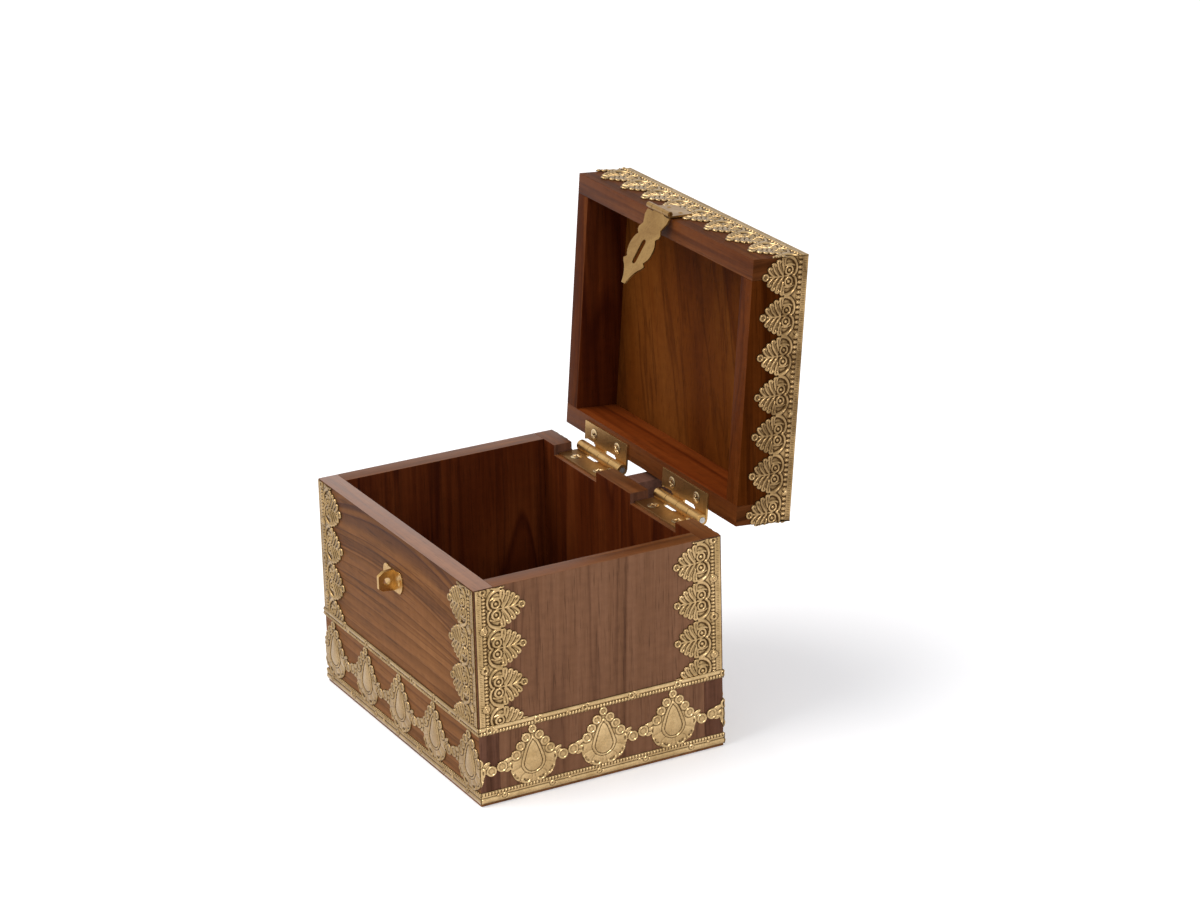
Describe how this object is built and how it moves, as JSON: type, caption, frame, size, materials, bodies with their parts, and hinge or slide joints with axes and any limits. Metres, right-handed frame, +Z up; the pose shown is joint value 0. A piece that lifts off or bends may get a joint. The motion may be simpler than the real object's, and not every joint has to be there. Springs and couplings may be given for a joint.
{
  "type": "damchiya chest",
  "caption": "Small wooden chest with a hinged lid, embossed brass palmette trim, a pierced band round its foot, butt hinges, and a hasp with a staple.",
  "frame": {"origin": "centre of the chest's underside, where it stands on a table", "axes": "+Z up, the front with the staple faces -Y, +X to the right as seen from the front; at rest the lid stands open by 95 degrees, leaning on its stop block"},
  "size_m": [0.152, 0.1659, 0.2162],
  "materials": {
    "polished_wood": "polished red-brown",
    "bare_wood": "unpolished grey-brown",
    "trim_brass": "embossed sheet, aged gold",
    "hardware_brass": "polished, lightly tarnished",
    "pin_steel": "dull"
  },
  "bodies": {
    "chest": {"front_wall": "polished_wood", "back_wall": "polished_wood", "left_wall": "polished_wood", "right_wall": "polished_wood", "bottom_panel": "polished_wood", "lid_stop": "bare_wood", "front_strip_left": "trim_brass", "front_strip_right": "trim_brass", "right_strip_front": "trim_brass", "right_strip_back": "trim_brass", "back_strip_right": "trim_brass", "back_strip_left": "trim_brass", "left_strip_back": "trim_brass", "left_strip_front": "trim_brass", "base_band": "trim_brass", "strip_pins": "trim_brass", "band_pins": "trim_brass", "hinge_leaf_chest_left": "hardware_brass", "hinge_leaf_chest_right": "hardware_brass", "hinge_pin_left": "pin_steel", "hinge_pin_right": "pin_steel", "hinge_screws_chest": "hardware_brass", "staple": "hardware_brass", "staple_nails": "hardware_brass"},
    "lid": {"lid_front_rail": "polished_wood", "lid_back_rail": "polished_wood", "lid_left_rail": "polished_wood", "lid_right_rail": "polished_wood", "lid_top_panel": "polished_wood", "lid_strip_front": "trim_brass", "lid_strip_right": "trim_brass", "lid_strip_back": "trim_brass", "lid_strip_left": "trim_brass", "lid_strip_pins": "trim_brass", "hinge_leaf_lid_left": "hardware_brass", "hinge_leaf_lid_right": "hardware_brass", "hinge_screws_lid": "hardware_brass", "hasp_leaf": "hardware_brass", "hasp_nails": "hardware_brass"},
    "hasp_pin": {"hasp_pin": "hardware_brass"},
    "hasp_strap": {"hasp_strap": "hardware_brass"}
  },
  "joints": [
    {"name": "lid_hinge", "type": "hinge", "parent": "chest", "child": "lid", "pos_m": [0, 0.062, 0.0938], "axis": [-1, 0, 0], "range_deg": [-95, 0]},
    {"name": "hasp_pin_turn", "type": "hinge", "parent": "lid", "child": "hasp_pin", "pos_m": [0, 0.0737, 0.21494], "axis": [-1, 0, 0], "range_deg": [0, 82]},
    {"name": "hasp_swing", "type": "hinge", "parent": "hasp_pin", "child": "hasp_strap", "pos_m": [0, 0.0737, 0.21494], "axis": [-1, 0, 0], "range_deg": [-20, 145]}
  ],
  "couplings": [
    {"joint": "hasp_pin_turn", "follows": "lid_hinge", "ratio": -0.863}
  ]
}
